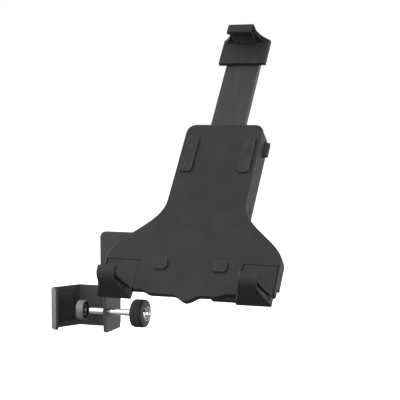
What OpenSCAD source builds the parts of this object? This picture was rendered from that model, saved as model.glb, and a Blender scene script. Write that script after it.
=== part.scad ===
// Clamp-on tablet holder: a screw clamp for a tube, a folded arm and a tilting, turning holder.
// The origin is the axis of the clamped tube at the clamp's mid height, Z up, the viewer at -Y.

/* [Clamp] */
// Height of the clamp's steel strip
clamp_h = 35.2; // [30:0.2:45]
// Thickness of the clamp's steel strip
clamp_t = 2.5; // [2:0.1:3.5]
// Inside of the web, behind the tube's axis
web_y = 24; // [20:0.5:30]
// Inner left corner of the web, right of the tube's axis
web_corner = 0.8; // [-2:0.2:4]
// Outer face of the screw leg, right of the tube's axis
leg_x = 39.2; // [36:0.2:46]
// Reach of the screw leg in front of the tube's axis
leg_front = 6.4; // [5:0.2:12]
// Inner fold of the V jaw, left of the tube's axis
jaw_fold = 12.4; // [11:0.2:16]
// Turn of the jaw's front flange to the right of straight forward, in degrees
flange_turn = 48; // [35:1:50]
// Length of the jaw's front flange
flange_l = 11.2; // [7:0.2:12]
// Inner radius of the strip's bends
bend_r = 1.5; // [1:0.1:3]
// Rounding of the screw leg's front corners
leg_round = 4; // [2:0.5:8]
// Rounding of the flange's corners
flange_round = 3; // [2:0.5:5]
// Height of the rubber pad on the jaw
jaw_pad_h = 25.5; // [18:0.5:28]
// Distance of the rubber pad from the web's corner
jaw_pad_from = 7; // [4:0.5:12]
// Thickness of the rubber pad on the jaw
jaw_pad_t = 1.6; // [1:0.1:2.5]

/* [Clamping screw] */
// Diameter of the screw
screw_d = 5.6; // [5:0.1:8]
// Diameter of the screw's turned-down nose
nose_d = 4.4; // [3.5:0.1:5]
// Length of the turned-down nose outside the pressure piece
nose_l = 4.8; // [3:0.2:8]
// Running clearance on a radius
run_gap = 0.05; // [0.03:0.01:0.08]
// Free gap between pieces that move past each other
free_gap = 0.35; // [0.3:0.05:0.5]
// Diameter of the pressure piece
press_d = 16.4; // [14:0.2:20]
// Thickness of the pressure piece
press_l = 6.6; // [5.5:0.1:9]
// Right face of the pressure piece, from the tube's axis
press_x = 18.2; // [14:0.2:22]
// Depth of the groove in the pressure piece
groove_depth = 2.2; // [1.5:0.1:2.5]
// Diameter of the hollow in the pressure piece
hollow_d = 13; // [10:0.5:14]
// Depth of the hollow in the pressure piece
hollow_l = 2.6; // [2:0.1:3]
// Length of the threaded collar inside the leg
collar_l = 4; // [3:0.2:5]
// Diameter of the threaded collar inside the leg
collar_d = 10; // [9:0.2:12]
// Diameter of the knob
knob_d = 23.4; // [20:0.2:30]
// Length of the knob
knob_l = 11.4; // [8:0.2:16]
// Left face of the knob, from the tube's axis
knob_x = 61.9; // [58:0.1:70]
// Rounding of the knob's ends
knob_round = 2.4; // [1.5:0.1:3.5]
// Number of grooves round the knob
knob_grooves = 48; // [24:1:60]
// Diameter of the cap in the knob's end
cap_d = 12.6; // [10:0.2:15]

/* [Arm] */
// Thickness of the arm's steel
arm_t = 3; // [2.5:0.1:4]
// Width of the arm's upright
arm_w = 18; // [14:0.5:20]
// Height of the arm's cross run
run_h = 17; // [14:0.5:20]
// Left edge of the arm's upright, from the tube's axis
arm_left = 19; // [18:0.2:21]
// Distance of the two arm screws from the clamp's mid height
arm_screw_z = 9.5; // [8:0.5:12]
// Diameter of the arm screws
arm_screw_d = 5; // [4:0.1:6]
// Radius of the hinge ears
ear_r = 9; // [8:0.5:12]
// Thickness of the tilt ear
ear_t = 4; // [3:0.2:5]
// Thickness of the hinge washers
washer_t = 1; // [0.8:0.1:1.5]
// Diameter of the tilt bolt
tilt_bolt_d = 6; // [5:0.1:8]
// Diameter of the tilt knob
tilt_knob_d = 26; // [22:0.5:32]
// Length of the tilt knob
tilt_knob_l = 15; // [12:0.5:18]
// Distance of the tilt axis behind the holder's front
tilt_back = 50.6; // [48:0.2:56]
// Diameter of the swivel plate
swivel_d = 44; // [38:0.5:48]
// Thickness of the swivel plate
swivel_t = 3; // [2.5:0.1:4]
// Diameter of the swivel bolt
swivel_bolt_d = 8; // [6:0.1:10]

/* [Holder place] */
// Lean of the holder back from upright, in degrees
lean = 38.6; // [32:0.2:44]
// Middle of the holder, right of the tube's axis
hold_x = 124.6; // [120:0.2:130]
// Claw floor at the housing's front, in front of the tube's axis
hold_front = 47.1; // [45:0.1:52]
// Claw floor at the housing's front, above the clamp's mid height
hold_up = 31; // [28:0.1:36]

/* [Housing] */
// Height of the housing above the claw floor
body_top = 160; // [150:1:160]
// Half width of the housing's upper part
spine_half = 34; // [32:0.5:38]
// Half width of the housing at the claws
foot_half = 73; // [73:0.5:76]
// Height of the housing's lower corners
foot_top = 27; // [25:0.5:32]
// Height at which the housing has narrowed to its upper part
spine_from = 84; // [76:1:95]
// Depth of the front moulding
shell_depth = 5.5; // [5.2:0.1:7]
// Front wall of the front moulding
front_wall = 2.4; // [2:0.1:2.6]
// Rim of the mouldings
rim_wall = 2.6; // [2:0.1:3.5]
// Depth of the rear moulding at the feet
wing_depth = 11; // [10:0.2:12]
// Depth of the rear moulding in the middle
spine_depth = 20; // [19:0.2:22]
// Height of the lower edge beside the middle
edge_flat = -6.2; // [-8:0.2:-4]
// Drop of the lower edge's bulge
bulge_drop = 5.2; // [4:0.2:7]
// Middle of the lower edge's bulge, right of the holder's middle
bulge_x = 3; // [0:0.5:4]
// Half width of the lower edge's bulge
bulge_half = 11.5; // [9:0.5:14]
// Rise of the lower edge beside the claws
edge_rise = 2.9; // [2:0.1:5]
// Distance from the middle where the lower edge starts to rise
rise_from = 27.5; // [26:0.5:32]
// Width over which the lower edge rises
rise_w = 8; // [6:0.5:12]
// Height of the swivel above the claw floor
swivel_y = 88; // [86:0.5:92]
// Thickness of the front pads above the housing
pad_up = 2; // [1.5:0.1:2.5]

/* [Claws] */
// Distance of each lower claw from the middle
claw_x = 57.4; // [56:0.1:58]
// Width of the lower claws' lips
lip_w = 15; // [12:0.2:18]
// Width of the lower claws' feet
claw_foot_w = 28; // [24:0.2:28]
// Front of the lower lips, in front of the housing
lip_z = 26; // [22:0.2:30]
// Height of the lower lips above the claw floor
lip_up = 2.4; // [2:0.1:6]
// Rounding of the lower lips' outside
lip_round = 9.4; // [6:0.1:10]
// Depth of the lower claws below the claw floor at the lip
claw_low = 8.2; // [6:0.1:9]
// Extra depth of the lower claws at the foot
foot_drop = 2.4; // [1:0.1:4]
// Width of the upper claw's lip
top_lip_w = 23; // [20:0.5:28]
// Width of the upper claw's foot
top_foot_w = 43; // [38:0.5:50]
// Front of the upper lip, in front of the housing
top_lip_z = 23.5; // [20:0.2:28]
// Height of the upper lip below the claw floor
top_lip_up = 3.8; // [3:0.1:6]
// Rounding of the upper lip's outside
top_round = 2.6; // [2:0.1:5]
// Depth of the upper claw above the claw floor
top_low = 5.9; // [5:0.1:7]
// Thickness of the lips
lip_t = 4.5; // [4:0.1:6]
// Thickness of the soft liners
liner_t = 2; // [1.5:0.1:2.5]
// Depth of the grooves in the claws' sides
side_groove = 2.4; // [1.5:0.1:2.8]
// Thickness of the rims beside those grooves
side_rim = 1.2; // [1:0.1:1.6]
// Distance in front of the housing at which a claw starts to widen
flare_from = 18.5; // [15:0.5:19]
// Distance in front of the housing at which a claw is at its full width
flare_to = 0.5; // [0:0.1:3]

/* [Slider] */
// Clear height between lower and upper claws at rest
grip_h = 248; // [240:1:250]
// Width of the slider
slider_w = 30; // [26:0.5:32]
// Thickness of the slider
slider_t = 6; // [5:0.1:6.4]
// Length of the slider
slider_l = 180; // [175:1:182]
// Side clearance of the slider in its channel
slide_gap = 0.35; // [0.3:0.05:0.5]
// Travel of the slider into the housing
slide_in = 62; // [56:1:64]

/* [Release] */
// Height of the release button above the claw floor
button_y = 143; // [141:0.5:144]
// Height of the button along the housing's side
button_w = 14; // [12:0.5:16]
// Thickness of the button's plate
button_t = 4; // [3:0.1:4.2]
// Reach of the button out of the housing's side
button_out = 4; // [3.5:0.1:5]
// Width of the brake shoe
shoe_w = 4.2; // [3.5:0.1:5]

/* [Hidden] */
$fn = 48;
fine = 64;
eps = 0.01;

paint = [0.27, 0.27, 0.28];
plastic = [0.13, 0.13, 0.14];
rubber = [0.09, 0.09, 0.1];
steel = [0.78, 0.79, 0.8];

// Points along an arc in degrees, from a0 to a1
function arc(c, r, a0, a1, n = 8) =
    [for (i = [0:n]) let (a = a0 + (a1 - a0) * i / n) [c[0] + r * cos(a), c[1] + r * sin(a)]];
// A soft step from 0 to 1
function soft(u) = let (v = min(max(u, 0), 1)) v * v * (3 - 2 * v);
function reversed(p) = [for (i = [len(p) - 1:-1:0]) p[i]];

// A square with round corners, centred
module rounded_square(w, h, r) {
    polygon(concat(
        arc([w / 2 - r, h / 2 - r], r, 0, 90, 6),
        arc([-w / 2 + r, h / 2 - r], r, 90, 180, 6),
        arc([-w / 2 + r, -h / 2 + r], r, 180, 270, 6),
        arc([w / 2 - r, -h / 2 + r], r, 270, 360, 6)));
}

// A shaft along X from x0 to x1
module x_rod(x0, x1, d) {
    translate([x0, 0, 0]) rotate([0, 90, 0]) cylinder(h = x1 - x0, d = d);
}

// A hexagonal prism with a hole, across flats af
module hex_ring(af, h, hole_d) {
    difference() {
        cylinder(h = h, d = af / cos(30), $fn = 6);
        translate([0, 0, -1]) cylinder(h = h + 2, d = hole_d, $fn = fine);
    }
}

// Places of the clamp: the strip's inner corners from the screw leg round to the flange's end
leg_in = leg_x - clamp_t;
jaw_splay = atan2(web_corner + jaw_fold, web_y);
headings = [90, 180, 270 - jaw_splay, 270 + flange_turn];
function step_to(a, l) = [l * cos(a), l * sin(a)];
flange_end = [-jaw_fold, 0] + step_to(headings[3], flange_l);
strip_path = [[leg_in, -leg_front], [leg_in, web_y], [web_corner, web_y], [-jaw_fold, 0], flange_end];

// A point at distance d inside the corner between headings a and b
function inside(p, a, b, d) = p + d * (step_to(a + 90, 1) + step_to(b + 90, 1)) / (1 + cos(b - a));

// The strip's edge at distance d outside its inner face, with a round bend at each corner
function strip_edge(d) = concat(
    [strip_path[0] + step_to(headings[0] - 90, d)],
    [for (i = [1:3]) each arc(inside(strip_path[i], headings[i - 1], headings[i], bend_r),
        bend_r + d, headings[i - 1] - 90, headings[i] - 90)],
    [strip_path[4] + step_to(headings[3] - 90, d)]);

// Puts its children at the flange's end: X along the flange, Y to its inside
module at_flange() {
    translate([flange_end[0], flange_end[1], 0]) rotate(headings[3]) children();
}

// Takes a corner of radius r off a strip that ends at X = 0 and is h high, above or below
module round_off(r, h, side) {
    translate([-r, -clamp_t - 1, side * h / 2]) difference() {
        translate([0, 0, -r]) cube([r + 1, clamp_t + 2, 2 * r]);
        translate([0, -1, -side * r]) rotate([-90, 0, 0]) cylinder(h = clamp_t + 4, r = r);
    }
}

module clamp_bracket() {
    color(paint) difference() {
        translate([0, 0, -clamp_h / 2]) linear_extrude(clamp_h)
            polygon(concat(strip_edge(clamp_t), reversed(strip_edge(0))));
        for (side = [-1, 1]) {
            translate([leg_x, -leg_front, 0]) rotate(-90) round_off(leg_round, clamp_h, side);
            at_flange() round_off(flange_round, clamp_h, side);
            translate([arm_mid, web_y - 1, side * arm_screw_z])
                rotate([-90, 0, 0]) cylinder(h = clamp_t + 2, d = arm_screw_d);
        }
        x_rod(leg_in - 1, leg_x + 1, screw_d + 2 * free_gap);
    }
}

// The rubber pad lies on the jaw and is folded onto the front flange
module jaw_pad() {
    wall_start = [web_corner, web_y] + step_to(headings[2], jaw_pad_from);
    flange_stop = flange_end - step_to(headings[3], 1.2);
    color(rubber) translate([0, 0, -jaw_pad_h / 2]) linear_extrude(jaw_pad_h)
        polygon(concat(
            [wall_start],
            arc(inside([-jaw_fold, 0], headings[2], headings[3], bend_r), bend_r, headings[2] - 90, headings[3] - 90),
            [flange_stop, flange_stop + step_to(headings[3] + 90, jaw_pad_t),
                inside([-jaw_fold, 0], headings[2], headings[3], jaw_pad_t),
                wall_start + step_to(headings[2] + 90, jaw_pad_t)]));
}

module weld_nut() {
    color(paint) difference() {
        x_rod(leg_in - collar_l, leg_in, collar_d);
        x_rod(leg_in - collar_l - 1, leg_in + 1, screw_d + 2 * run_gap, $fn = fine);
    }
}

// Places of the pressure piece and the screw
seat_x = press_x - hollow_l;
socket_d = 8;
socket_l = 1.6;
nose_tip_x = seat_x - socket_l + free_gap;
shoulder_x = press_x + nose_l;

// The round thrust washer lies in the bottom of the pressure piece's hollow
washer_x = seat_x + free_gap;
thrust_t = 0.8;
thrust_d = 10;
nose_collar_d = 8;

module thrust_washer() {
    color(steel) difference() {
        x_rod(washer_x, washer_x + thrust_t, thrust_d);
        x_rod(washer_x - 1, washer_x + thrust_t + 1, nose_d + 2 * run_gap, $fn = fine);
    }
}

module pressure_piece() {
    color([0.36, 0.36, 0.37]) difference() {
        translate([press_x - press_l, 0, 0]) rotate([0, 90, 0]) rotate_extrude($fn = fine)
            polygon(concat(
                [[0, 0]],
                arc([press_d / 2 - 1, 1], 1, -90, 0, 5),
                arc([press_d / 2 - 1, press_l - 1], 1, 0, 90, 5),
                [[0, press_l]]));
        x_rod(seat_x, press_x + 1, hollow_d, $fn = fine);
        x_rod(seat_x - socket_l, seat_x + 1, socket_d, $fn = fine);
        translate([press_x - press_l, 0, 0]) rotate([90, 0, 0])
            linear_extrude(press_d + 2, center = true)
                polygon([[-1, groove_depth + 1], [groove_depth, 0], [-1, -groove_depth - 1]]);
    }
}

module spindle() {
    color(steel) {
        x_rod(nose_tip_x, shoulder_x, nose_d, $fn = fine);
        translate([shoulder_x - 0.6, 0, 0]) rotate([0, 90, 0])
            cylinder(h = 0.6, d1 = nose_d, d2 = screw_d, $fn = fine);
        x_rod(shoulder_x, knob_x + knob_l - cap_deep, screw_d, $fn = fine);
        x_rod(washer_x + thrust_t + free_gap, washer_x + 2 * thrust_t + free_gap, nose_collar_d);
    }
}

cap_deep = 2;
cap_up = 0.9;

// A knob turned about X with round ends and a grooved rim; its bore takes the screw
module knob_blank(d, l, round_r, grooves, groove_d) {
    rotate([0, 90, 0]) difference() {
        rotate_extrude($fn = fine)
            polygon(concat(
                [[0, 0]],
                arc([d / 2 - round_r, round_r], round_r, -90, 0, 6),
                arc([d / 2 - round_r, l - round_r], round_r, 0, 90, 6),
                [[0, l]]));
        for (i = [0:grooves - 1])
            rotate(360 * i / grooves) translate([d / 2 + groove_d * 0.25, 0, round_r * 0.6])
                rotate(45) translate([-groove_d / 2, -groove_d / 2, 0])
                    cube([groove_d, groove_d, l - round_r * 1.2]);
    }
}

module clamp_knob() {
    color(plastic) translate([knob_x, 0, 0]) difference() {
        knob_blank(knob_d, knob_l, knob_round, knob_grooves, 1);
        x_rod(-1, knob_l - cap_deep + eps, screw_d, $fn = fine);
        x_rod(knob_l - cap_deep, knob_l + 1, cap_d, $fn = fine);
    }
}

module knob_cap() {
    r = cap_d / 2;
    color(steel) translate([knob_x + knob_l - cap_deep, 0, 0]) rotate([0, 90, 0])
        rotate_extrude($fn = fine)
            polygon([[0, 0], [r, 0], [r, cap_deep], [r - 0.4, cap_deep + cap_up],
                [r - 1.5, cap_deep + cap_up], [r - 2.1, cap_deep + 0.3], [0, cap_deep + 0.3]]);
}

// Places of the arm and the tilt hinge
arm_y0 = web_y + clamp_t;
arm_y1 = arm_y0 + arm_t;
arm_mid = arm_left + arm_w / 2;
tilt_y = -hold_front + swivel_y * sin(lean) + tilt_back * cos(lean);
tilt_z = hold_up + swivel_y * cos(lean) - tilt_back * sin(lean);
tilt_ear_x = hold_x - 13.5;
ear_x = tilt_ear_x - free_gap - washer_t - arm_t;
run_top = tilt_z - 4;
run_low = run_top - run_h;
arm_foot = -clamp_h / 2 + 1.5;
ear_bend = 2;

module support_arm() {
    elbow = 5;
    color(paint) {
        difference() {
            union() {
                translate([0, arm_y1, 0]) rotate([90, 0, 0]) linear_extrude(arm_t)
                    polygon(concat(
                        arc([arm_left + 2, arm_foot + 2], 2, 180, 270, 4),
                        arc([arm_left + arm_w - 2, arm_foot + 2], 2, 270, 360, 4),
                        arc([arm_left + arm_w + elbow, run_low - elbow], elbow, 180, 90, 6),
                        [[ear_x - ear_bend, run_low], [ear_x - ear_bend, run_top]],
                        arc([arm_left + elbow, run_top - elbow], elbow, 90, 180, 6)));
                translate([ear_x - ear_bend, arm_y1 + ear_bend, run_low])
                    rotate_extrude(angle = -90, $fn = fine)
                        translate([ear_bend, 0]) square([arm_t, run_h]);
                translate([ear_x, 0, 0]) rotate([90, 0, 90]) linear_extrude(arm_t) hull() {
                    translate([arm_y1 + ear_bend, run_low]) square([1, run_h]);
                    translate([tilt_y, tilt_z]) circle(r = ear_r, $fn = 32);
                }
            }
            translate([0, tilt_y, tilt_z]) x_rod(ear_x - 1, ear_x + arm_t + 1, tilt_bolt_d, $fn = fine);
            for (s = [-1, 1])
                translate([arm_mid, arm_y0 - 1, s * arm_screw_z])
                    rotate([-90, 0, 0]) cylinder(h = arm_t + 2, d = arm_screw_d);
        }
    }
}

arm_head_d = 9.5;
arm_head_t = 2.6;
arm_nut_af = 8;
arm_nut_t = 4;

module arm_screws() {
    color(steel) for (s = [-1, 1])
        translate([arm_mid, web_y, s * arm_screw_z]) rotate([-90, 0, 0]) {
            cylinder(h = clamp_t + arm_t + arm_nut_t + 1.5, d = arm_screw_d);
            translate([0, 0, -arm_head_t]) cylinder(h = arm_head_t, d1 = arm_head_d - 2.5, d2 = arm_head_d);
        }
}

module arm_nuts() {
    color(steel) for (s = [-1, 1])
        translate([arm_mid, arm_y1, s * arm_screw_z]) rotate([-90, 0, 0])
            hex_ring(arm_nut_af, arm_nut_t, arm_screw_d);
}

// Puts its children in the holder's frame: X to the right, Y up the holder, Z to its front
module in_holder() {
    translate([hold_x, -hold_front, hold_up]) rotate([90 - lean, 0, 0]) children();
}

// Places behind the housing
rear_z = -spine_depth;
plate_front = rear_z - washer_t - free_gap;
plate_back = plate_front - swivel_t;

module tilt_bracket() {
    color(paint) in_holder() difference() {
        union() {
            translate([0, swivel_y, plate_back]) cylinder(h = swivel_t, d = swivel_d, $fn = fine);
            translate([-13.5, 0, 0]) rotate([90, 0, 90]) linear_extrude(ear_t) hull() {
                translate([swivel_y - 13, plate_back]) square([26, 1]);
                translate([swivel_y, -tilt_back]) circle(r = ear_r, $fn = 32);
            }
        }
        translate([0, swivel_y, plate_back - 1])
            cylinder(h = swivel_t + 2, d = swivel_bolt_d + 2 * run_gap, $fn = fine);
        translate([0, swivel_y, -tilt_back])
            x_rod(-20, 0, tilt_bolt_d + 2 * run_gap, $fn = fine);
    }
}

ear_out = tilt_ear_x + ear_t;
knob_washer_x = ear_out + free_gap;
tilt_knob_x = knob_washer_x + washer_t + free_gap;
tilt_bore_l = 12;

module at_tilt() {
    translate([0, tilt_y, tilt_z]) children();
}

module tilt_bolt() {
    head_t = 4;
    color(steel) at_tilt() {
        x_rod(ear_x - 0.5, tilt_knob_x + tilt_bore_l - 1, tilt_bolt_d, $fn = fine);
        translate([ear_x - head_t, 0, 0]) rotate([0, 90, 0]) cylinder(h = head_t, d = 11, $fn = 6);
    }
}

module tilt_washers() {
    color(steel) at_tilt() {
        for (x = [ear_x + arm_t, knob_washer_x])
            difference() {
                x_rod(x, x + washer_t, 2 * ear_r - 2);
                x_rod(x - 1, x + washer_t + 1, tilt_bolt_d, $fn = fine);
            }
    }
}

module tilt_knob() {
    color(plastic) at_tilt() translate([tilt_knob_x, 0, 0]) difference() {
        union() {
            x_rod(0, 4, 13);
            translate([3, 0, 0]) rotate([0, 90, 0]) difference() {
                cylinder(h = tilt_knob_l - 3, d = tilt_knob_d, $fn = fine);
                for (i = [0:6])
                    rotate(360 * i / 7) translate([tilt_knob_d / 2 + 2.2, 0, -1])
                        cylinder(h = tilt_knob_l, d = 8, $fn = 24);
            }
        }
        x_rod(-1, tilt_bore_l, tilt_bolt_d + 2 * run_gap, $fn = fine);
        x_rod(tilt_knob_l - 1.2, tilt_knob_l + 1, 12, $fn = fine);
    }
}

module tilt_knob_cap() {
    color(plastic) at_tilt() translate([tilt_knob_x + tilt_knob_l - 1.2, 0, 0]) x_rod(0, 1.6, 12, $fn = fine);
}

// Lower edge of the housing: a bulge near the middle and a rise beside each claw
function edge_y(x) = edge_flat + edge_rise * soft((abs(x) - rise_from) / rise_w)
    - bulge_drop * 0.5 * (1 + cos(180 * min(abs(x - bulge_x) / bulge_half, 1)));
foot_low = edge_flat + edge_rise;

// Right side of the housing from above its foot to the narrow upper part, inset by w
function side_x(y) = spine_half + (foot_half - spine_half) * pow(1 - soft((y - foot_top) / (spine_from - foot_top)), 1.35);

// The housing's outline, inset by w: along the lower edge and up the right side, then down the left
function side_outline(w, top) = concat(
    arc([foot_half - w - 3, foot_low + w + 3], 3, -90, 0, 5),
    [for (i = [0:20]) let (y = foot_top - 2 + i * (spine_from - foot_top + 2) / 20) [side_x(y) - w, y]],
    arc([spine_half - w - 8, top - w - 8], 8, 0, 90, 7));
function mirrored(p) = [for (q = reversed(p)) [-q[0], q[1]]];
function outline(w, top) = concat(
    [for (i = [-30:30]) let (x = i * (foot_half - w - 4) / 30) [x, edge_y(x) + w]],
    side_outline(w, top),
    mirrored(side_outline(w, top)));

channel_half = slider_w / 2 + slide_gap;
slider_z1 = -3;
slider_z0 = slider_z1 - slider_t;
channel_z1 = slider_z1 + free_gap;
channel_z0 = slider_z0 - free_gap;
claw_seat_z0 = -4;
claw_seat_z1 = -1;
claw_back_l = 24;
slider_low = grip_h + 2 - slider_l;
channel_low = slider_low - slide_in - 4;
seat_gap = 0.6;
screw_posts = [[-26, 22], [26, 22], [-26, 118], [26, 118]];
post_d = 7;
cover_screw_d = 3;
screw_head_d = 5.6;
screw_sink = 2.6;
claw_screw_y = 17;
claw_screw_dx = 8;

// The claw's flat back fills this seat in the housing
module claw_seat(x) {
    translate([x - claw_foot_w / 2 - seat_gap, -20, claw_seat_z0])
        cube([claw_foot_w + 2 * seat_gap, claw_back_l + 20, 20]);
}

module button_way(more) {
    translate([-shoe_left - more, button_y - button_w / 2 - more, button_z0 - more])
        cube([spine_half + shoe_left + 20, button_w + 2 * more, button_t + 2 * more]);
}

module holder_housing() {
    color(plastic) in_holder() difference() {
        translate([0, 0, -shell_depth]) linear_extrude(shell_depth) polygon(outline(0, body_top));
        difference() {
            translate([0, 0, -shell_depth - 1])
                linear_extrude(shell_depth + 1 - front_wall) polygon(outline(rim_wall, body_top));
            for (s = [-1, 1]) {
                translate([s * (channel_half + 1), body_top / 2, -shell_depth])
                    linear_extrude(shell_depth) square([2, body_top], center = true);
                translate([s * claw_x - claw_foot_w / 2 - rim_wall, -20, -shell_depth])
                    cube([claw_foot_w + 2 * rim_wall, claw_back_l + rim_wall + 20, shell_depth]);
            }
            for (p = screw_posts)
                translate([p[0], p[1], -shell_depth]) cylinder(h = shell_depth, d = post_d);
        }
        translate([-channel_half, body_top - 2 * rim_wall, -shell_depth - 1])
            cube([2 * channel_half, 2 * rim_wall + 1, shell_depth + 1 + channel_z1]);
        for (s = [-1, 1]) {
            claw_seat(s * claw_x);
            for (d = [-1, 1])
                translate([s * claw_x + d * claw_screw_dx, claw_screw_y, -shell_depth - 1])
                    cylinder(h = 6, d = cover_screw_d);
        }
        for (p = screw_posts)
            translate([p[0], p[1], -shell_depth - 1])
                cylinder(h = shell_depth + 1 - front_wall - 0.1, d = cover_screw_d);
        translate([-shoe_left - shoe_travel - free_gap, button_y - button_w / 2 - free_gap, -shell_depth - 1])
            cube([shoe_left + shoe_travel, button_w + 2 * free_gap, shell_depth + 1 + channel_z1]);
        for (p = front_panels)
            translate([p[0], p[1], -panel_deep]) linear_extrude(panel_deep + 1)
                rounded_square(p[2], p[3], 3);
    }
}

// Shallow panels in the front that hold the soft pads: centre and size
panel_deep = 0.8;
front_panels = [[-25, 20, 12, 10], [25, 20, 12, 10], [-25, 128, 10, 36], [25, 128, 10, 36]];

module front_pads() {
    color(rubber) in_holder() for (p = front_panels)
        translate([p[0], p[1], -panel_deep]) linear_extrude(panel_deep + pad_up)
            rounded_square(p[2], p[3], 3);
}

// Rear outline: the feet stay above the front moulding's rim, with a lobe at the lower right
module rear_outline() {
    difference() {
        polygon(outline(0, body_top));
        translate([-80, -30]) square([160, 30 + rear_low]);
    }
    translate([lobe_x, rear_low]) rounded_square(lobe_w, 2 * (rear_low - lobe_low), 3);
}
rear_low = 6;
lobe_x = 32;
lobe_w = 25;
lobe_low = -5;

module rear_cover() {
    h = spine_depth - shell_depth;
    wing_h = wing_depth - shell_depth;
    wall = rim_wall;
    color(plastic) in_holder() difference() {
        union() {
            translate([0, 0, -wing_depth]) linear_extrude(wing_h) rear_outline();
            translate([0, (rear_low + body_top) / 2, rear_z]) linear_extrude(h)
                rounded_square(2 * spine_half, body_top - rear_low, 8);
        }
        translate([0, 0, -wing_depth + wall]) linear_extrude(wing_h) difference() {
            polygon(outline(wall, body_top - wall));
            translate([-80, -30]) square([160, 30 + rear_low + wall]);
            square([2 * (spine_half + wall), 2 * body_top], center = true);
        }
        for (s = [-1, 1])
            translate([s * (channel_half + 2 + spine_half - wall) / 2, (rear_low + body_top) / 2, rear_z + wall])
                linear_extrude(h) difference() {
                    square([spine_half - wall - channel_half - 2, body_top - rear_low - 2 * wall], center = true);
                    for (p = screw_posts)
                        translate([0, p[1] - (rear_low + body_top) / 2]) circle(d = post_d + 3);
                }
        translate([-channel_half, channel_low, channel_z0])
            cube([2 * channel_half, body_top + 1 - channel_low, h]);
        translate([0, swivel_y, rear_z - 1]) cylinder(h = 10, d = swivel_bolt_d, $fn = fine);
        translate([0, swivel_y, rear_z + bolt_wall])
            cylinder(h = channel_z0 - rear_z, d = bolt_head_d + 1, $fn = fine);
        button_way(free_gap);
        translate([-shoe_left - shoe_travel - free_gap, button_y - button_w / 2 - free_gap, button_z0 - free_gap])
            cube([shoe_left + shoe_travel, button_w + 2 * free_gap, 20]);
        translate([-spring_end, button_y, spring_z]) x_rod(0, spring_end, spring_d + 1.4);
        for (p = screw_posts)
            translate([p[0], p[1], rear_z - 1]) cylinder(h = h + 2, d = cover_screw_d);
        for (p = screw_posts)
            translate([p[0], p[1], rear_z - 1]) cylinder(h = screw_sink + 1, d = screw_head_d + 0.6);
    }
}

module cover_screws() {
    color(steel) in_holder() for (p = screw_posts)
        translate([p[0], p[1], rear_z + screw_sink]) {
            translate([0, 0, -2]) cylinder(h = 2, d = screw_head_d);
            cylinder(h = spine_depth - screw_sink - front_wall - 0.2, d = cover_screw_d);
        }
}

// Half width of a claw at distance z in front of the housing; a higher power keeps the neck narrow
function claw_half(z, lip_w, foot_w, power) =
    (lip_w + (foot_w - lip_w) * pow(min(max((flare_from - z) / (flare_from - flare_to), 0), 1), power)) / 2;

// Outline of a claw from above the holder: straight lip, hollow flare, foot; inset by w
function claw_plan(lip_w, foot_w, power, front, back, w) = let (
    right = concat(
        [[foot_w / 2 - w, back]],
        [for (i = [0:12]) let (z = flare_to + i * (flare_from - flare_to) / 12)
            [claw_half(z, lip_w, foot_w, power) - w, z]],
        [[lip_w / 2 - w, front - 1], [lip_w / 2 - w - 1, front]]))
    concat(right, mirrored(right));

// Side section of a claw in (y, z): shape is [front, up, low, round, drop]; back is [z0, z1, length]
function claw_section(shape, back) = let (
    front = shape[0],
    up = shape[1],
    r = shape[3],
    throat = front - lip_t,
    tip = 1.1)
    concat(
        [[-shape[2] - shape[4], back[0]], [-shape[2] - shape[4], 0]],
        arc([-shape[2] + r, front - r], r, 180, 90, 8),
        arc([up - tip, front - tip], tip, 90, 0, 4),
        arc([up - tip, throat + tip], tip, 0, -90, 4),
        arc([-liner_t + 1.5, throat - 1.5], 1.5, 90, 180, 4),
        arc([-liner_t + 2, back[1] + 2], 2, 180, 270, 5),
        [[back[2], back[1]], [back[2], back[0]]]);

// Section of the groove in a claw's side, which follows the floor and the lip between two rims
function claw_groove(shape) = let (
    front = shape[0],
    up = shape[1],
    r = shape[3],
    throat = front - lip_t,
    from = flare_to + 0.6)
    concat(
        [[-shape[2] - shape[4] + side_rim + 0.4, from]],
        arc([-shape[2] + r, front - r], r - side_rim, 180, 90, 8),
        [[up - side_rim, front - side_rim], [up - side_rim, throat + side_rim]],
        arc([-liner_t + 1.5, throat - 1.5], 1.5 + side_rim, 90, 180, 4),
        [[-liner_t - side_rim, from]]);

module along_x(w) {
    rotate([90, 0, 90]) linear_extrude(w, center = true) children();
}

module claw(lip_w, foot_w, power, shape, back) {
    difference() {
        intersection() {
            along_x(foot_w) polygon(claw_section(shape, back));
            rotate([90, 0, 0]) linear_extrude(80, center = true)
                polygon(claw_plan(lip_w, foot_w, power, shape[0], back[0], 0));
        }
        difference() {
            along_x(foot_w + 2) polygon(claw_groove(shape));
            rotate([90, 0, 0]) linear_extrude(80, center = true)
                polygon(claw_plan(lip_w, foot_w, power, shape[0] + 2, back[0] - 1, side_groove));
        }
    }
}
lower_shape = [lip_z, lip_up, claw_low, lip_round, foot_drop];
top_shape = [top_lip_z, top_lip_up, top_low, top_round, 0.6];

module lower_claw(side) {
    color(plastic) in_holder() translate([side * claw_x, 0, 0]) difference() {
        claw(lip_w, claw_foot_w, 1.3, lower_shape, [claw_seat_z0, claw_seat_z1, claw_back_l]);
        for (d = [-1, 1])
            translate([d * claw_screw_dx, claw_screw_y, claw_seat_z0 - 1]) cylinder(h = 3, d = cover_screw_d);
    }
}

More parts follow.
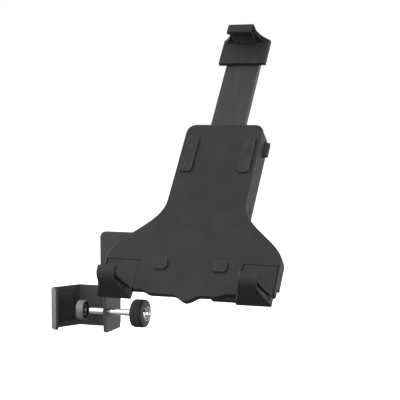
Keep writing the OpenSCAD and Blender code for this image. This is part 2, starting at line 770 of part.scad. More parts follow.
// Soft liner of a claw: along the floor and up the inside of the lip
module liner(w, shape, from) {
    throat = shape[0] - lip_t;
    thin = liner_t - 0.8;
    color(rubber) translate([-w / 2, 0, 0]) rotate([90, 0, 90]) linear_extrude(w)
        polygon(concat(
            [[-liner_t, from], [-liner_t, throat - 1.5]],
            arc([-liner_t + 1.5, throat - 1.5], 1.5, 180, 90, 4),
            [[shape[1] - 1.2, throat], [shape[1] - 1.2, throat - thin], [0.6, throat - thin],
                [0, throat - thin - 0.6], [0, from]]));
}
module lower_liner(side) {
    in_holder() translate([side * claw_x, 0, 0]) liner(lip_w - 2 * side_rim, lower_shape, claw_seat_z1 + 3.5);
}

module left_claw() { lower_claw(-1); }
module right_claw() { lower_claw(1); }
module left_claw_liner() { lower_liner(-1); }
module right_claw_liner() { lower_liner(1); }

module claw_screws() {
    color(steel) in_holder() for (s = [-1, 1], d = [-1, 1])
        translate([s * claw_x + d * claw_screw_dx, claw_screw_y, -shell_depth]) {
            cylinder(h = 3.4, d = cover_screw_d);
        }
}

bolt_wall = 3;
bolt_head_d = 14;
module swivel_bolt() {
    color(steel) in_holder() {
        translate([0, swivel_y, rear_z + bolt_wall]) cylinder(h = 5, d = bolt_head_d, $fn = 6);
        translate([0, swivel_y, nut_z - nut_t - 2])
            cylinder(h = rear_z + bolt_wall - nut_z + nut_t + 2 + eps, d = swivel_bolt_d, $fn = fine);
    }
}

module swivel_washer() {
    color(rubber) in_holder() translate([0, swivel_y, rear_z - washer_t]) difference() {
        cylinder(h = washer_t, d = swivel_d - 8, $fn = fine);
        translate([0, 0, -1]) cylinder(h = washer_t + 2, d = swivel_bolt_d, $fn = fine);
    }
}

nut_z = plate_back - free_gap;
nut_t = 6;
nut_af = 13;
nut_flange_d = 17;
module swivel_nut() {
    color(steel) in_holder() translate([0, swivel_y, nut_z - nut_t]) {
        hex_ring(nut_af, nut_t - 1, swivel_bolt_d);
        translate([0, 0, nut_t - 1]) difference() {
            cylinder(h = 1, d = nut_flange_d, $fn = fine);
            translate([0, 0, -1]) cylinder(h = 3, d = swivel_bolt_d, $fn = fine);
        }
    }
}

top_back_l = 20;
top_back1 = 1;

// Two grooves along the slider's back: width, distance from the middle, solid ends
slider_groove_w = 7;
slider_groove_x = 7;
slider_groove_end = 20;
slider_groove_deep = 1.6;
module slider_arm() {
    color(plastic) in_holder() difference() {
        translate([0, slider_low + slider_l / 2, slider_z0]) linear_extrude(slider_t)
            rounded_square(slider_w, slider_l, 2);
        for (s = [-1, 1])
            translate([s * slider_groove_x, slider_low + slider_l / 2 - 4, slider_z0 - 1])
                linear_extrude(1 + slider_groove_deep)
                    rounded_square(slider_groove_w, slider_l - 2 * slider_groove_end, 3);
        for (d = [-1, 1])
            translate([d * claw_screw_dx, grip_h - top_screw_y, slider_z0 - 1])
                cylinder(h = slider_t + 2, d = cover_screw_d);
    }
}
top_screw_y = 12;

module top_claw() {
    color(plastic) in_holder() translate([0, grip_h, 0]) mirror([0, 1, 0]) difference() {
        claw(top_lip_w, top_foot_w, 2.3, top_shape, [slider_z1, top_back1, top_back_l]);
        for (d = [-1, 1])
            translate([d * claw_screw_dx, top_screw_y, slider_z1 - 1]) cylinder(h = 3.4, d = cover_screw_d);
    }
}

module top_claw_liner() {
    in_holder() translate([0, grip_h, 0]) mirror([0, 1, 0])
        liner(top_lip_w - 2 * side_rim, top_shape, top_back1 + 2.5);
}

module top_claw_screws() {
    color(steel) in_holder() for (d = [-1, 1])
        translate([d * claw_screw_dx, grip_h - top_screw_y, slider_z0]) {
            translate([0, 0, -1.6]) cylinder(h = 1.6, d = 5.6);
            cylinder(h = slider_t + 2.4, d = cover_screw_d);
        }
}

// Release button: a plate behind the slider with a brake shoe on the slider's far side
shoe_left = channel_half + shoe_w;
shoe_travel = 3;
button_z1 = channel_z0 - 1.4;
button_z0 = button_z1 - button_t;
spring_end = spine_half - rim_wall;
spring_d = 5;
spring_z = (button_z0 + slider_z1) / 2 - 0.5;

module release_button() {
    color([0.2, 0.2, 0.21]) in_holder() {
        translate([-shoe_left, button_y, button_z0 + button_t / 2]) rotate([0, 90, 0])
            linear_extrude(shoe_left + spine_half + button_out) rounded_square(button_t, button_w, 1.5);
        translate([-shoe_left, button_y - button_w / 2, button_z0])
            cube([shoe_w, button_w, slider_z1 - button_z0]);
    }
}

// Round-wire spring along X, swept ring by ring
function coil_point(t, r, l, turns) = [l * t, r * cos(360 * turns * t), r * sin(360 * turns * t)];
module coil(r, l, turns, wire) {
    n = 14 * turns;
    sides = 6;
    points = [for (i = [0:n]) let (
        t = i / n,
        a = 360 * turns * t,
        c = coil_point(t, r, l, turns))
        for (k = [0:sides - 1]) let (b = 360 * k / sides)
            c + wire / 2 * [sin(b), cos(b) * cos(a), cos(b) * sin(a)]];
    walls = [for (i = [0:n - 1]) for (k = [0:sides - 1])
        [i * sides + k, i * sides + (k + 1) % sides, (i + 1) * sides + (k + 1) % sides, (i + 1) * sides + k]];
    polyhedron(concat(points), concat(walls,
        [[for (k = [sides - 1:-1:0]) k], [for (k = [0:sides - 1]) n * sides + k]]), convexity = 8);
}

module button_spring() {
    wire = 0.8;
    color(steel) in_holder() translate([-spring_end + wire / 2, button_y, spring_z])
        coil(spring_d / 2 - wire / 2, spring_end - shoe_left - wire, 6, wire);
}

clamp_bracket();
jaw_pad();
weld_nut();
support_arm();
arm_screws();
arm_nuts();
thrust_washer();
pressure_piece();
spindle();
clamp_knob();
knob_cap();
tilt_bracket();
tilt_bolt();
tilt_washers();
tilt_knob();
tilt_knob_cap();
holder_housing();
rear_cover();
cover_screws();
left_claw();
right_claw();
left_claw_liner();
right_claw_liner();
claw_screws();
front_pads();
swivel_bolt();
swivel_washer();
swivel_nut();
slider_arm();
top_claw();
top_claw_liner();
top_claw_screws();
release_button();
button_spring();
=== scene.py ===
import math

import bmesh
import bpy
from mathutils import Matrix, Vector


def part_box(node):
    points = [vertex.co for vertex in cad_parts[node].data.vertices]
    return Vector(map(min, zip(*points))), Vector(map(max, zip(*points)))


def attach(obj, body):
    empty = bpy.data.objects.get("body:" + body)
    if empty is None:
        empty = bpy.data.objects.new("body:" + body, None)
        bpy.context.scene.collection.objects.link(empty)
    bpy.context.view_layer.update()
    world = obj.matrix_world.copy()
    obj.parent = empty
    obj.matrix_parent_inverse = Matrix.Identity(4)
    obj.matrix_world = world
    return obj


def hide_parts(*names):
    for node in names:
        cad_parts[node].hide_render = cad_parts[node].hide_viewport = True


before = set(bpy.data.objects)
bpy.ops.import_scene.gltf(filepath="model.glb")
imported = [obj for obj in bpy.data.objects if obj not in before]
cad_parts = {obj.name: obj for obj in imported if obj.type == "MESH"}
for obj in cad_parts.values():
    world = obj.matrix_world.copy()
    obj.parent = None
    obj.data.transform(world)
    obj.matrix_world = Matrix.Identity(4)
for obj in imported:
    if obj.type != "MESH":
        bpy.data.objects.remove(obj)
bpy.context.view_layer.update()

scene = bpy.context.scene

# Sizes are in millimetres, as in the part's source. MM takes them to the frame's metres.
MM = Matrix.Scale(0.001, 4)
QUARTER_Y = Matrix.Rotation(math.radians(90), 4, "Y")      # turns +Z to +X, and +X to -Z
LEAN = 38.6                                                # degrees from upright
HOLD_AT = (124.6, -47.1, 31.0)
HOLDER = MM @ Matrix.Translation(HOLD_AT) @ Matrix.Rotation(math.radians(90 - LEAN), 4, "X")
GRIP_H = 248.0
TOP_END = HOLDER @ Matrix.Translation((0, GRIP_H, 0)) @ Matrix.Diagonal((1, -1, 1, 1))
CLAW_X = 57.4
KNOB_X = 61.9
KNOB_L = 11.4
KNOB_R = 11.7
CAP_R = 6.3
CAP_X = KNOB_X + KNOB_L - 2.0


# ---------------------------------------------------------------- materials

class Finish:
    """A Principled surface with procedural detail in object space, where a unit is a metre."""

    def __init__(self, name, colour, roughness, **constants):
        self.material = bpy.data.materials.new(name)
        self.material.use_nodes = True
        self.tree = self.material.node_tree
        self.surface = self.tree.nodes["Principled BSDF"]
        self.surface.inputs["Base Color"].default_value = (*colour, 1)
        self.surface.inputs["Roughness"].default_value = roughness
        for socket, value in constants.items():
            self.surface.inputs[socket.replace("_", " ")].default_value = value
        self.place = self.add("ShaderNodeTexCoord").outputs["Object"]
        self.height = None

    def add(self, kind, **settings):
        node = self.tree.nodes.new(kind)
        for key, value in settings.items():
            setattr(node, key, value)
        return node

    def link(self, out, into):
        self.tree.links.new(out, into)

    def noise(self, size_mm, detail=2.0, stretch=(1, 1, 1)):
        """Noise from 0 to 1 whose blobs are about size_mm across."""
        scaled = self.add("ShaderNodeMapping")
        scaled.inputs["Scale"].default_value = stretch
        self.link(self.place, scaled.inputs["Vector"])
        node = self.add("ShaderNodeTexNoise")
        node.inputs["Scale"].default_value = 1000.0 / size_mm
        node.inputs["Detail"].default_value = detail
        self.link(scaled.outputs["Vector"], node.inputs["Vector"])
        return node.outputs["Fac"]

    def grain(self, size_mm):
        """Small rounded cells, as in eroded mould steel."""
        node = self.add("ShaderNodeTexVoronoi", feature="SMOOTH_F1")
        node.inputs["Scale"].default_value = 1000.0 / size_mm
        node.inputs["Smoothness"].default_value = 0.6
        self.link(self.place, node.inputs["Vector"])
        return node.outputs["Distance"]

    def ramp(self, fac, low, high, start=0.3, end=0.7):
        """Goes from low to high as fac goes from start to end."""
        node = self.add("ShaderNodeMapRange")
        node.inputs["From Min"].default_value = start
        node.inputs["From Max"].default_value = end
        node.inputs["To Min"].default_value = low
        node.inputs["To Max"].default_value = high
        self.link(fac, node.inputs["Value"])
        return node.outputs["Result"]

    def vary_roughness(self, fac, low, high):
        self.link(self.ramp(fac, low, high), self.surface.inputs["Roughness"])

    def vary_colour(self, fac, dark, light):
        blend = self.add("ShaderNodeMix", data_type="RGBA")
        blend.inputs["A"].default_value = (*dark, 1)
        blend.inputs["B"].default_value = (*light, 1)
        self.link(self.ramp(fac, 0, 1), blend.inputs["Factor"])
        self.link(blend.outputs["Result"], self.surface.inputs["Base Color"])
        return blend

    def wear_and_highlight_edges(self, blend, colour, share):
        """A lighter tone on the bevelled edges, broken up by noise: partly wear, partly a painted
        highlight.
        """
        edge = self.add("ShaderNodeAttribute", attribute_name="bevel_edge")
        patch = self.add("ShaderNodeMath", operation="MULTIPLY")
        self.link(edge.outputs["Fac"], patch.inputs[0])
        self.link(self.ramp(self.noise(4.0, detail=4), 0.25 * share, share), patch.inputs[1])
        over = self.add("ShaderNodeMix", data_type="RGBA")
        over.inputs["B"].default_value = (*colour, 1)
        self.link(patch.outputs["Value"], over.inputs["Factor"])
        self.link(blend.outputs["Result"], over.inputs["A"])
        self.link(over.outputs["Result"], self.surface.inputs["Base Color"])

    def bump(self, fac, depth_mm, strength):
        """Raised detail, on top of any that is there already."""
        node = self.add("ShaderNodeBump")
        node.inputs["Strength"].default_value = strength
        node.inputs["Distance"].default_value = depth_mm * 0.001
        self.link(fac, node.inputs["Height"])
        if self.height is not None:
            self.link(self.height, node.inputs["Normal"])
        self.height = node.outputs["Normal"]
        self.link(self.height, self.surface.inputs["Normal"])


def grey(value, tint=0.0):
    """A grey, bluer by tint."""
    return (value, value * (1 + tint * 0.5), value * (1 + tint))


def powder_paint():
    f = Finish("dark_powder_paint", grey(0.05), 0.4, Specular_IOR_Level=0.25)
    blend = f.vary_colour(f.noise(9.0, detail=3), dark=grey(0.045), light=grey(0.055))
    # Lighter bevelled edges: partly wear, partly a painted highlight.
    f.wear_and_highlight_edges(blend, grey(0.11), share=0.6)
    f.vary_roughness(f.noise(3.0, detail=3), low=0.34, high=0.46)
    f.bump(f.noise(1.1, detail=1), depth_mm=0.02, strength=0.6)
    f.bump(f.noise(0.3, detail=1), depth_mm=0.006, strength=0.5)
    return f.material


def moulded_black():
    f = Finish("grained_black_plastic", grey(0.03), 0.5, Specular_IOR_Level=0.12)
    blend = f.vary_colour(f.noise(14.0, detail=3), dark=grey(0.027), light=grey(0.034))
    # Lighter bevelled edges: partly wear, partly a painted highlight.
    f.wear_and_highlight_edges(blend, grey(0.075), share=0.6)
    f.vary_roughness(f.noise(5.0, detail=3), low=0.44, high=0.56)
    f.bump(f.grain(0.45), depth_mm=0.03, strength=0.5)
    f.bump(f.noise(0.2, detail=1), depth_mm=0.01, strength=0.5)
    return f.material


def knob_black():
    f = Finish("knob_plastic", grey(0.028), 0.45, Specular_IOR_Level=0.2)
    blend = f.vary_colour(f.noise(6.0, detail=3), dark=grey(0.025), light=grey(0.032))
    # Lighter bevelled edges: partly wear, partly a painted highlight.
    f.wear_and_highlight_edges(blend, grey(0.07), share=0.5)
    f.vary_roughness(f.noise(2.5, detail=3), low=0.4, high=0.52)
    f.bump(f.noise(0.35, detail=2), depth_mm=0.015, strength=0.5)
    return f.material


def sliding_bar():
    """Plastic rubbed along its length, which is the frame's Y and Z."""
    f = Finish("bar_plastic", grey(0.04), 0.42, Specular_IOR_Level=0.2)
    f.vary_colour(f.noise(10.0, detail=3, stretch=(1, 0.2, 0.2)), dark=grey(0.034), light=grey(0.046))
    f.vary_roughness(f.noise(1.6, detail=3, stretch=(1, 0.06, 0.06)), low=0.34, high=0.5)
    f.bump(f.noise(0.5, detail=2, stretch=(1, 0.05, 0.05)), depth_mm=0.008, strength=0.5)
    return f.material


def moulded_grey():
    f = Finish("grained_grey_plastic", grey(0.19), 0.45, Specular_IOR_Level=0.3)
    blend = f.vary_colour(f.noise(7.0, detail=3), dark=grey(0.175), light=grey(0.205))
    # Lighter bevelled edges: partly wear, partly a painted highlight.
    f.wear_and_highlight_edges(blend, grey(0.3), share=0.6)
    f.vary_roughness(f.noise(2.0, detail=3), low=0.38, high=0.52)
    f.bump(f.grain(0.4), depth_mm=0.02, strength=0.5)
    return f.material


def soft_rubber():
    f = Finish("matt_rubber", grey(0.045), 0.75, Specular_IOR_Level=0.15)
    f.vary_colour(f.noise(6.0, detail=4), dark=grey(0.04), light=grey(0.052))
    f.vary_roughness(f.noise(2.0, detail=3), low=0.66, high=0.84)
    f.bump(f.noise(0.25, detail=2), depth_mm=0.02, strength=0.6)
    return f.material


def polished_chrome():
    f = Finish("polished_chrome", grey(0.86, 0.01), 0.08, Metallic=1.0)
    f.vary_colour(f.noise(8.0, detail=2), dark=grey(0.82, 0.01), light=grey(0.9, 0.01))
    f.vary_roughness(f.noise(1.5, detail=3), low=0.06, high=0.14)
    f.bump(f.noise(0.4, detail=1, stretch=(0.2, 1, 1)), depth_mm=0.002, strength=0.4)
    return f.material


def zinc_plate():
    f = Finish("zinc_plated_steel", grey(0.55, 0.03), 0.33, Metallic=1.0)
    f.vary_colour(f.noise(3.0, detail=3), dark=(0.5, 0.5, 0.49), light=(0.6, 0.62, 0.66))
    f.vary_roughness(f.noise(1.2, detail=3), low=0.26, high=0.42)
    f.bump(f.noise(0.3, detail=2), depth_mm=0.004, strength=0.5)
    return f.material


PAINT = powder_paint()
BLACK = moulded_black()
KNOB = knob_black()
BAR = sliding_bar()
GREY = moulded_grey()
RUBBER = soft_rubber()
CHROME = polished_chrome()
ZINC = zinc_plate()


# ------------------------------------------------------------- mesh helpers

def mesh_from(bm):
    bmesh.ops.recalc_face_normals(bm, faces=bm.faces)
    mesh = bpy.data.meshes.new("work")
    bm.to_mesh(mesh)
    bm.free()
    return mesh


def loft(rings, loop=False):
    """Skins rings that have the same number of points. The ends are closed, or joined by loop."""
    bm = bmesh.new()
    rows = [[bm.verts.new(point) for point in ring] for ring in rings]
    pairs = list(zip(rows, rows[1:]))
    if loop:
        pairs.append((rows[-1], rows[0]))
    count = len(rows[0])
    for near, far in pairs:
        for i in range(count):
            after = (i + 1) % count
            bm.faces.new((near[i], near[after], far[after], far[i]))
    if not loop:
        bm.faces.new(rows[0])
        bm.faces.new(rows[-1])
    return mesh_from(bm)


def turned(profile, steps=72, loop=False):
    """A body turned about X from points (x, radius)."""
    angles = [math.tau * i / steps for i in range(steps)]
    rings = [[(x, r * math.cos(a), r * math.sin(a)) for a in angles] for x, r in profile]
    return loft(rings, loop=loop)


def along_x(section, x0, x1):
    return loft([[(x, y, z) for y, z in section] for x in (x0, x1)])


def arc(cx, cy, r, a0, a1, n=6):
    """Points on a circle round (cx, cy), from angle a0 to a1 in n steps."""
    angles = [math.radians(a0 + (a1 - a0) * i / n) for i in range(n + 1)]
    return [(cx + r * math.cos(a), cy + r * math.sin(a)) for a in angles]


def turned_arc(x, r, radius, a0, a1, n=6):
    """An arc as points (x, radius) of a turned body. Angle 0 points away from the axis."""
    return [(along, out) for out, along in arc(r, x, radius, a0, a1, n)]


def rounded(width, height, radius):
    """A rectangle about the origin with round corners."""
    x = width / 2 - radius
    y = height / 2 - radius
    points = []
    for cx, cy, start in ((x, y, 0), (-x, y, 90), (-x, -y, 180), (x, -y, 270)):
        points += arc(cx, cy, radius, start, start + 90)
    return points


def rib(length, width, height):
    """A rounded bar along X on the plane Z = 0, with sunk ends."""
    section = ((-0.5, -0.6), (-0.5, 0.1), (-0.36, 0.7), (-0.15, 1),
               (0.15, 1), (0.36, 0.7), (0.5, 0.1), (0.5, -0.6))
    end = length / 2
    sink = min(height * 1.2, length * 0.2)
    stations = ((-end, 0.1), (-end + sink, 0.85), (-end + 2 * sink, 1),
                (end - 2 * sink, 1), (end - sink, 0.85), (end, 0.1))
    rings = []
    for x, part in stations:
        spread = 0.7 + 0.3 * part
        rings.append([(x, y * width * spread, (z if z < 0 else z * part) * height) for y, z in section])
    return loft(rings)


def evaluated(obj):
    """The mesh of an object with its modifiers applied. The object goes."""
    bpy.context.view_layer.update()
    deps = bpy.context.evaluated_depsgraph_get()
    mesh = bpy.data.meshes.new_from_object(obj.evaluated_get(deps))
    bpy.data.objects.remove(obj)
    return mesh


def work_object(mesh):
    obj = bpy.data.objects.new("work", mesh)
    scene.collection.objects.link(obj)
    return obj


def minus(mesh, *blades):
    """The mesh with the blades cut out of it."""
    obj = work_object(mesh)
    cutters = [work_object(blade) for blade in blades]
    for cutter in cutters:
        cut = obj.modifiers.new("cut", "BOOLEAN")
        cut.operation = "DIFFERENCE"
        cut.solver = "EXACT"
        cut.object = cutter
    result = evaluated(obj)
    for cutter in cutters:
        bpy.data.objects.remove(cutter)
    return result


def smooth(mesh, angle=38):
    mesh.polygons.foreach_set("use_smooth", [True] * len(mesh.polygons))
    mesh.set_sharp_from_angle(angle=math.radians(angle))
    return mesh


def softened(mesh, width):
    """Merges a loose mesh and rounds its sharp outward edges by width, in the mesh's own unit."""
    sharp = math.radians(35)
    bm = bmesh.new()
    bm.from_mesh(mesh)
    bmesh.ops.remove_doubles(bm, verts=bm.verts, dist=width * 0.01)
    bmesh.ops.dissolve_limit(bm, angle_limit=math.radians(1.0), verts=bm.verts, edges=bm.edges)
    bmesh.ops.recalc_face_normals(bm, faces=bm.faces)
    weight = bm.edges.layers.float.new("bevel_weight_edge")
    for edge in bm.edges:
        edge[weight] = float(edge.calc_face_angle_signed(0) > sharp)
    merged = mesh_from(bm)
    merged.materials.append(None)
    merged.materials.append(None)
    obj = work_object(smooth(merged))
    bevel = obj.modifiers.new("round_edges", "BEVEL")
    bevel.width = width
    bevel.segments = 2
    bevel.limit_method = "WEIGHT"
    bevel.use_clamp_overlap = False
    bevel.miter_outer = "MITER_ARC"
    bevel.material = 1
    flat = obj.modifiers.new("flat_faces", "WEIGHTED_NORMAL")
    flat.keep_sharp = True
    result = evaluated(obj)

    # The bevel's faces have the second material. That mark goes into an attribute for the lighter edges,
    # which are partly wear and partly a painted highlight.
    marks = [0] * len(result.polygons)
    result.polygons.foreach_get("material_index", marks)
    edge_mark = result.attributes.new("bevel_edge", "FLOAT", "FACE")
    edge_mark.data.foreach_set("value", [float(mark) for mark in marks])
    result.materials.clear()
    return result


# ------------------------------------------------- repeats by geometry nodes

def tree_with(name, inputs):
    tree = bpy.data.node_groups.new(name, "GeometryNodeTree")
    tree.interface.new_socket("Geometry", in_out="OUTPUT", socket_type="NodeSocketGeometry")
    tree.interface.new_socket("Geometry", in_out="INPUT", socket_type="NodeSocketGeometry")
    for label, kind in inputs:
        tree.interface.new_socket(label, in_out="INPUT", socket_type="NodeSocket" + kind)
    return tree, tree.nodes.new("NodeGroupInput"), tree.nodes.new("NodeGroupOutput")


def repeat_tree():
    """Copies of the mesh in a row by Step, or round X by Turn."""
    tree, given, out = tree_with("repeat_in_row_or_ring", (
        ("Count", "Int"), ("Step", "Vector"), ("Turn", "Float"), ("Material", "Material")))
    new, link = tree.nodes.new, tree.links.new
    line = new("GeometryNodeMeshLine")
    index = new("GeometryNodeInputIndex")
    angle = new("ShaderNodeMath")
    angle.operation = "MULTIPLY"
    about_x = new("ShaderNodeCombineXYZ")
    rotation = new("FunctionNodeEulerToRotation")
    copies = new("GeometryNodeInstanceOnPoints")
    real = new("GeometryNodeRealizeInstances")
    paint = new("GeometryNodeSetMaterial")
    link(given.outputs["Count"], line.inputs["Count"])
    link(given.outputs["Step"], line.inputs["Offset"])
    link(index.outputs[0], angle.inputs[0])
    link(given.outputs["Turn"], angle.inputs[1])
    link(angle.outputs[0], about_x.inputs["X"])
    link(about_x.outputs[0], rotation.inputs[0])
    link(line.outputs[0], copies.inputs["Points"])
    link(given.outputs["Geometry"], copies.inputs["Instance"])
    link(rotation.outputs[0], copies.inputs["Rotation"])
    link(copies.outputs[0], real.inputs[0])
    link(real.outputs[0], paint.inputs["Geometry"])
    link(given.outputs["Material"], paint.inputs["Material"])
    link(paint.outputs[0], out.inputs[0])
    return tree


def thread_tree():
    """A ridge wound round Z, joined to the mesh."""
    tree, given, out = tree_with("wound_thread", (
        ("Turns", "Float"), ("Radius", "Float"), ("Length", "Float"), ("Crest", "Float"),
        ("Depth", "Float"), ("Material", "Material")))
    new, link = tree.nodes.new, tree.links.new
    helix = new("GeometryNodeCurveSpiral")
    helix.inputs["Resolution"].default_value = 24
    upright = new("GeometryNodeSetCurveNormal")
    upright.mode = "Z_UP"
    profile = new("GeometryNodeCurvePrimitiveQuadrilateral")
    sweep = new("GeometryNodeCurveToMesh")
    both = new("GeometryNodeJoinGeometry")
    real = new("GeometryNodeRealizeInstances")
    paint = new("GeometryNodeSetMaterial")
    link(given.outputs["Turns"], helix.inputs["Rotations"])
    link(given.outputs["Radius"], helix.inputs["Start Radius"])
    link(given.outputs["Radius"], helix.inputs["End Radius"])
    link(given.outputs["Length"], helix.inputs["Height"])
    link(given.outputs["Depth"], profile.inputs["Width"])
    link(given.outputs["Crest"], profile.inputs["Height"])
    link(helix.outputs[0], upright.inputs["Curve"])
    link(upright.outputs[0], sweep.inputs["Curve"])
    link(profile.outputs[0], sweep.inputs["Profile Curve"])
    link(sweep.outputs[0], both.inputs[0])
    link(given.outputs["Geometry"], both.inputs[0])
    link(both.outputs[0], real.inputs[0])
    link(real.outputs[0], paint.inputs["Geometry"])
    link(given.outputs["Material"], paint.inputs["Material"])
    link(paint.outputs[0], out.inputs[0])
    return tree


REPEAT = repeat_tree()
THREAD = thread_tree()


def through(tree, mesh, **values):
    """The mesh after a geometry-node tree."""
    obj = work_object(mesh)
    nodes = obj.modifiers.new("repeat", "NODES")
    nodes.node_group = tree
    for item in tree.interface.items_tree:
        if item.in_out == "INPUT" and item.name in values:
            nodes[item.identifier] = values[item.name]
    return evaluated(obj)


def row(mesh, count, step, material):
    return through(REPEAT, mesh, Count=count, Step=step, Turn=0.0, Material=material)


def ring(mesh, count, material):
    return through(REPEAT, mesh, Count=count, Step=(0.0, 0.0, 0.0), Turn=math.tau / count,
                   Material=material)


# ------------------------------------------------------- pieces on bodies

def show(name, mesh, material, body, slot, *nodes):
    """The mesh as a piece that rides on a body and stands for CAD nodes."""
    mesh.materials.clear()
    mesh.materials.append(material)
    mesh.polygons.foreach_set("material_index", [0] * len(mesh.polygons))
    obj = bpy.data.objects.new(name, mesh)
    scene.collection.objects.link(obj)
    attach(obj, body)
    if nodes:
        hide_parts(*nodes)


def piece(name, parts, material, body, slot, *nodes, angle=38):
    """Joins (mesh, matrix) parts into one piece. Edges sharper than angle stay sharp."""
    bm = bmesh.new()
    for mesh, matrix in parts:
        step = bmesh.new()
        step.from_mesh(mesh)
        step.transform(matrix)
        if matrix.determinant() < 0:
            bmesh.ops.reverse_faces(step, faces=step.faces)
        moved = bpy.data.meshes.new("work")
        step.to_mesh(moved)
        step.free()
        bm.from_mesh(moved)
        bpy.data.meshes.remove(moved)
    whole = bpy.data.meshes.new(name)
    bm.to_mesh(whole)
    bm.free()
    show(name, smooth(whole, angle), material, body, slot, *nodes)


# ------------------------------------------------------------- hard pieces

# Copies of CAD nodes with rounded edges. The width is that of the rounding.
for node, name, width, material, body, slot in (
        ("clamp_bracket", "bent_clamp_strip", 0.35, PAINT, "clamp", "dark_paint"),
        ("support_arm", "folded_arm", 0.35, PAINT, "clamp", "dark_paint"),
        ("tilt_bracket", "swivel_plate_with_ear", 0.35, PAINT, "tilt_head", "dark_paint"),
        ("arm_screws", "arm_screw_pair", 0.25, ZINC, "clamp", "zinc_steel"),
        ("arm_nuts", "arm_nut_pair", 0.3, ZINC, "clamp", "zinc_steel"),
        ("thrust_washer", "turning_washer", 0.12, ZINC, "thrust", "zinc_steel"),
        ("tilt_bolt", "tilt_hinge_bolt", 0.35, ZINC, "clamp", "zinc_steel"),
        ("tilt_washers", "tilt_hinge_washers", 0.12, ZINC, "clamp", "zinc_steel"),
        ("swivel_bolt", "turning_bolt", 0.3, ZINC, "holder", "zinc_steel"),
        ("swivel_nut", "flanged_nut", 0.25, ZINC, "holder", "zinc_steel"),
        ("claw_screws", "claw_screw_shanks", 0.2, ZINC, "holder", "zinc_steel"),
        ("tilt_knob", "lobed_tilt_knob", 0.7, KNOB, "tilt_lock", "black_plastic"),
        ("holder_housing", "front_moulding", 0.45, BLACK, "holder", "black_plastic"),
        ("rear_cover", "rear_moulding", 0.45, BLACK, "holder", "black_plastic"),
        ("left_claw", "left_lower_claw", 0.35, BLACK, "holder", "black_plastic"),
        ("right_claw", "right_lower_claw", 0.35, BLACK, "holder", "black_plastic"),
        ("top_claw", "upper_claw", 0.35, BLACK, "slider", "black_plastic"),
        ("slider_arm", "sliding_bar", 0.35, BAR, "slider", "black_plastic")):
    show(name, softened(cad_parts[node].data, width * 0.001), material, body, slot, node)


# -------------------------------------------------------- clamping screw

THREAD_R = 2.62
THREAD_X0 = 23.4
THREAD_X1 = KNOB_X + 1.0
THREAD_L = THREAD_X1 - THREAD_X0             # the pitch is 1 mm, so it is the number of turns too

nose_and_neck = [(14.35, 1.9), (14.6, 2.1), (15.0, 2.1), (15.1, 1.8), (18.4, 1.8), (22.9, THREAD_R)]
core = turned(nose_and_neck + [(THREAD_X1, THREAD_R), (CAP_X, THREAD_R)], steps=64)
sliver = [(0.01 * math.cos(a), 0.01 * math.sin(a)) for a in (0, 2, 4)]
carrier = loft([[(x, y, z) for x, y in sliver] for z in (0, 1)])        # hidden inside the core
helix = through(THREAD, carrier, Turns=THREAD_L, Radius=THREAD_R, Length=THREAD_L,
                Crest=0.8, Depth=0.34, Material=CHROME)
at_thread = MM @ Matrix.Translation((THREAD_X0, 0, 0)) @ QUARTER_Y
piece("threaded_spindle", [(core, MM), (helix, at_thread)], CHROME,
      "screw", "chrome_steel", "spindle", angle=50)

# Low collar of the threaded hole, inside the leg
COLLAR_BORE = 3.0
collar = turned([(35.4, COLLAR_BORE), (35.4, 4.4), (35.7, 4.8), (36.6, 5.0), (36.75, 5.0),
                 (36.75, COLLAR_BORE)], steps=64, loop=True)
piece("threaded_collar", [(softened(collar, 0.15), MM)], PAINT, "clamp", "dark_paint", "weld_nut")

# Pressure piece: a cup with a thin rim, and a groove across its other face
PRESS_R = 8.2
PRESS_X0 = 11.6
PRESS_X1 = 18.2
PRESS_ROUND = 1.0
hollow = [(14.0, 0.02), (14.0, 5.6), (14.5, 6.4), (16.2, 7.1)]
rim = [(PRESS_X1 - 0.1, 7.4), (PRESS_X1, 7.5), (PRESS_X1, 7.95), (PRESS_X1 - 0.25, PRESS_R)]
back = turned_arc(PRESS_X0 + PRESS_ROUND, PRESS_R - PRESS_ROUND, PRESS_ROUND, -15, -90)
cup = turned(hollow + rim + [(PRESS_X0 + PRESS_ROUND, PRESS_R)] + back + [(PRESS_X0, 0.02)])
groove_half = [(-1.0, 4.6), (0.0, 3.6), (0.6, 2.6), (0.95, 1.6), (1.1, 0.5)]
groove = groove_half + [(x, -z) for x, z in reversed(groove_half)]
blade = loft([[(PRESS_X0 + x, y, z) for x, z in groove] for y in (-10, 10)])
piece("grooved_pressure_piece", [(minus(cup, blade), MM)], GREY,
      "pressure", "grey_plastic", "pressure_piece")

# Painted shade in its hollow: a thin dark sheet inside the cup, and a dark cone round the spindle's nose
hollow_shade_sheet = turned([(14.1, 2.6), (14.1, 5.5), (14.6, 6.3), (16.2, 7.0), (17.6, 7.25),
                 (17.6, 7.1), (16.3, 6.85), (14.75, 6.15), (14.25, 5.4), (14.25, 2.6)], loop=True)
nose_shade_cone = turned([(14.45, 2.0), (17.6, 2.0), (17.6, 2.5), (16.2, 3.3), (14.6, 4.2), (14.45, 4.2)],
                  steps=48, loop=True)
piece("painted_shade_press_hollow", [(hollow_shade_sheet, MM), (nose_shade_cone, MM)], KNOB, "pressure", "black_plastic")

